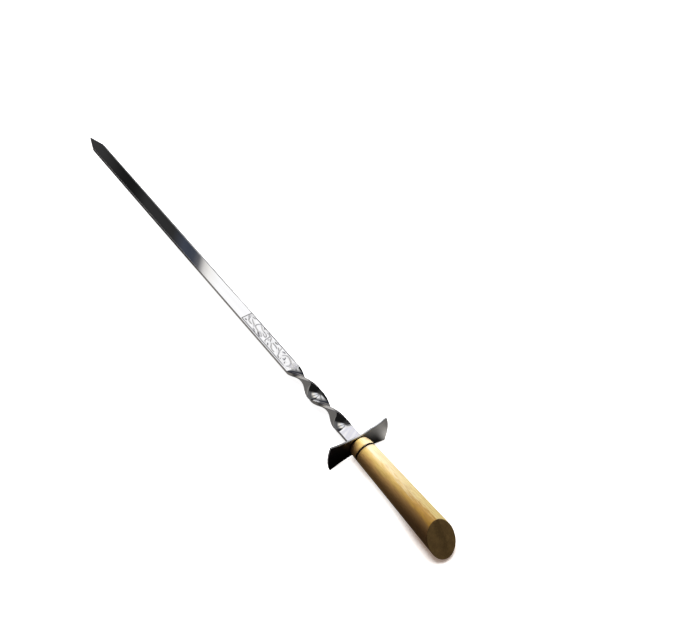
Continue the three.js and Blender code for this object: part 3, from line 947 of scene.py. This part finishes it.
SKY_RIGHT = (
    (0, 0.17), (12, 0.16), (22, 0.11), (30, 0.35), (36, 0.95, 0.9, 0.8), (46, 1.1, 1.07, 1), (60, 1, 1.03, 1.1),
    (70, 0.7), (77, 0.22), (84, 0.07), (90, 0.06),
)
SKY_FRONT = ((0, 0.012), (60, 0.01), (75, 0.03), (90, 0.06))


def bands(nodes, height, tones):
    """Colours that follow a height from 0 to 90 degrees, straight between the tones given."""
    top = 90
    ramp = nodes.add("ValToRGB", {0: height * (1 / top)})
    points = ramp.color_ramp.elements
    for i, (at, *tone) in enumerate(tones):
        point = points[i] if i < 2 else points.new(at / top)
        point.position = at / top
        point.color = (*(tone if len(tone) == 3 else tone * 3), 1)
    return Value(nodes, ramp.outputs[0])


def studio_world(ambient):
    """The room: white behind what the camera sees, and soft light of the given colour all round.

    Polished steel sees a dim wall with a striped bright ceiling over it on the far side, and a dark room
    elsewhere. The wall's tone follows the height of the line of sight, and the stripes and the dark room the
    angle between its heading and the middle of the wall, both in degrees. What the flat reflects runs aslant
    between left and right, by 0.97 degrees for each degree of height, and the wall's upper edge is tilted.
    """
    world = bpy.data.worlds.new("studio")
    bpy.context.scene.world = world
    nodes = empty_tree(world)
    seen, glossy = rays(nodes)
    sight = nodes.out("Generated", "TexCoord")
    _, _, upwards = nodes.parts(sight)
    degree, wall, aslant = math.degrees(1), math.radians(147), 0.97
    cos, sin = math.cos(wall), math.sin(wall)
    height = nodes.math("ARCSINE", upwards) * degree
    ahead = nodes.vector("DOT_PRODUCT", sight, (cos, sin, 0), "Value")
    beside = nodes.vector("DOT_PRODUCT", sight, (-sin, cos, 0), "Value")
    turned = nodes.math("ARCTAN2", beside, ahead) * degree
    held = nodes.out(0, "Clamp", {"Value": height, "Min": 33, "Max": 52})
    from_flat = turned + (held - 47.3) * aslant
    left, right = from_flat.ramp(-4, -11), from_flat.ramp(5, 12)
    edge_tilt = 0.9
    tilted = height - (from_flat - 1.45) * edge_tilt
    tone = nodes.mix(left, bands(nodes, tilted, SKY_AHEAD), bands(nodes, height, SKY_LEFT))
    tone = nodes.mix(right, tone, bands(nodes, height, SKY_RIGHT))
    stripe_pitch = 34
    stripe = nodes.math("COSINE", (turned + 6) * (2 * math.pi / stripe_pitch)).ramp(-0.8, 0.1, 0.42, 1)
    ceiling = left.larger(right) * height.ramp(24, 34)
    tone = nodes.mix(ceiling, tone, nodes.mix(1, tone, stripe, "MULTIPLY"))
    dark = turned.ramp(-43, -60).larger(turned.ramp(72, 90))
    mirrored = nodes.mix(dark, tone, bands(nodes, height, SKY_FRONT))
    plain = nodes.mix(seen, ambient, (1, 1, 1))
    light = nodes.out(0, "Background", {"Color": nodes.mix(glossy, plain, mirrored)})
    nodes.add("OutputWorld", {"Surface": light})


def add_floor(half, material):
    """A square floor round the origin."""
    mesh = bpy.data.meshes.new("floor")
    mesh.from_pydata([(-half, -half, 0), (half, -half, 0), (half, half, 0), (-half, half, 0)], [], [(0, 1, 2, 3)])
    mesh.materials.append(material)
    plane = bpy.data.objects.new("floor", mesh)
    bpy.context.scene.collection.objects.link(plane)


def add_lamp(name, place, target, size, watts, lit):
    """A square lamp at a place, turned to its target, that lights one object alone."""
    data = bpy.data.lights.new(name, "AREA")
    data.shape, data.size, data.energy = "SQUARE", size, watts
    lamp = bpy.data.objects.new(name, data)
    lamp.visible_camera = False
    lamp.location = place
    x, y, z = np.subtract(place, target)
    lamp.rotation_euler = (math.atan2(math.hypot(x, y), z), 0, math.atan2(x, -y))
    receivers = bpy.data.collections.new(f"{name}_receivers")
    receivers.objects.link(bpy.data.objects[lit])
    lamp.light_linking.receiver_collection = receivers
    bpy.context.scene.collection.objects.link(lamp)


class SKEWER_OT_stage(Operator):
    """Makes the floor, the room, the lamps and the camera"""

    bl_idname = "skewer.stage"
    bl_label = "Stage"

    def execute(self, context):
        stage = context.scene.skewer_stage
        context.scene.view_settings.view_transform = "Standard"
        add_floor(stage.floor_half, floor_material(stage))
        studio_world(stage.ambient)
        lamps = (
            # name, place, target, size, power, what it lights
            ("key", (0.12, 0.057, 0.1275), (0.165, 0, 0.015), 0.06, stage.key_power, "handle_wood"),
            ("side", (0.311, 0.241, 0.261), (0.26, 0, 0.015), 0.12, stage.side_power, "handle_wood"),
            ("top", (0.18, -0.16, 1.6), (0.18, 0, 0), 0.8, stage.top_power, "floor"),
        )
        for lamp in lamps:
            add_lamp(*lamp)
        data = bpy.data.cameras.new("camera")
        data.sensor_width, data.lens = 36, stage.focal_length
        camera = bpy.data.objects.new("camera", data)
        camera.location, camera.rotation_euler = stage.camera_place, stage.camera_turn
        context.scene.collection.objects.link(camera)
        context.scene.camera = camera
        return {"FINISHED"}


class SKEWER_OT_blade(Operator):
    """Makes the bar with its point, engraved scroll, twist and tang"""

    bl_idname = "skewer.blade"
    bl_label = "Blade"

    def execute(self, context):
        scene = context.scene
        steel, stretch, relief = scene.skewer_steel, (0.05, 4, 4), 0.03
        shared_groups(scene.skewer_place)
        mesh = blade_mesh(scene.skewer_place, scene.skewer_bar, scene.skewer_scroll)
        finish = steel_material("blade_polish", steel, steel.tint, steel.roughness, stretch, relief, bar_wear)
        add_piece("blade_steel", mesh, finish, "steel", "blade")
        return {"FINISHED"}


class SKEWER_OT_guard(Operator):
    """Makes the bow-tie guard plate"""

    bl_idname = "skewer.guard"
    bl_label = "Guard plate"

    def execute(self, context):
        scene = context.scene
        steel, stretch, relief = scene.skewer_steel, (3, 0.08, 3), 0.2
        tint, roughness = steel.guard_tint, steel.guard_roughness
        mesh = guard_mesh(scene.skewer_place, scene.skewer_guard, scene.skewer_bar)
        shared_groups(scene.skewer_place)
        finish = steel_material("guard_satin", steel, tint, roughness, stretch, relief, rim_polish)
        add_piece("guard_steel", mesh, finish, "steel", "guard_plate")
        return {"FINISHED"}


class SKEWER_OT_handle(Operator):
    """Makes the turned handle, and finishes the resin inside it"""

    bl_idname = "skewer.handle"
    bl_label = "Handle"

    def execute(self, context):
        scene = context.scene
        mesh = handle_mesh(scene.skewer_place, scene.skewer_handle, scene.skewer_guard)
        shared_groups(scene.skewer_place)
        add_piece("handle_wood", mesh, wood_material(scene.skewer_wood), "wood", "handle")
        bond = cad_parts["tang_bond"]
        bond.data.materials.clear()
        bond.data.materials.append(resin_material(scene.skewer_resin))
        return {"FINISHED"}


OPERATORS = (SKEWER_OT_blade, SKEWER_OT_guard, SKEWER_OT_handle, SKEWER_OT_stage)
SETTINGS = {
    "skewer_place": RestPlace,
    "skewer_bar": BarSizes,
    "skewer_scroll": ScrollSizes,
    "skewer_guard": GuardSizes,
    "skewer_handle": HandleSizes,
    "skewer_steel": SteelFinish,
    "skewer_wood": WoodFinish,
    "skewer_resin": ResinFinish,
    "skewer_stage": StageSet,
}


class SKEWER_PT_sidebar(Panel):
    """Lists the operators and their settings"""

    bl_idname = "SKEWER_PT_sidebar"
    bl_label = "Kebab skewer"
    bl_space_type = "VIEW_3D"
    bl_region_type = "UI"
    bl_category = "Skewer"

    def draw(self, context):
        for operator in OPERATORS:
            self.layout.operator(operator.bl_idname)
        for key, kind in SETTINGS.items():
            box = self.layout.box()
            box.label(text=kind.__doc__.rstrip("."))
            for name in kind.__annotations__:
                box.prop(getattr(context.scene, key), name)


def register():
    for kind in (*SETTINGS.values(), *OPERATORS, SKEWER_PT_sidebar):
        bpy.utils.register_class(kind)
    for key, kind in SETTINGS.items():
        setattr(bpy.types.Scene, key, PointerProperty(type=kind))


def unregister():
    for key in SETTINGS:
        delattr(bpy.types.Scene, key)
    for kind in (SKEWER_PT_sidebar, *reversed(OPERATORS), *reversed(SETTINGS.values())):
        bpy.utils.unregister_class(kind)


def main():
    register()
    bpy.ops.skewer.blade()
    bpy.ops.skewer.guard()
    bpy.ops.skewer.handle()
    bpy.ops.skewer.stage()


if __name__ == "__main__":
    main()
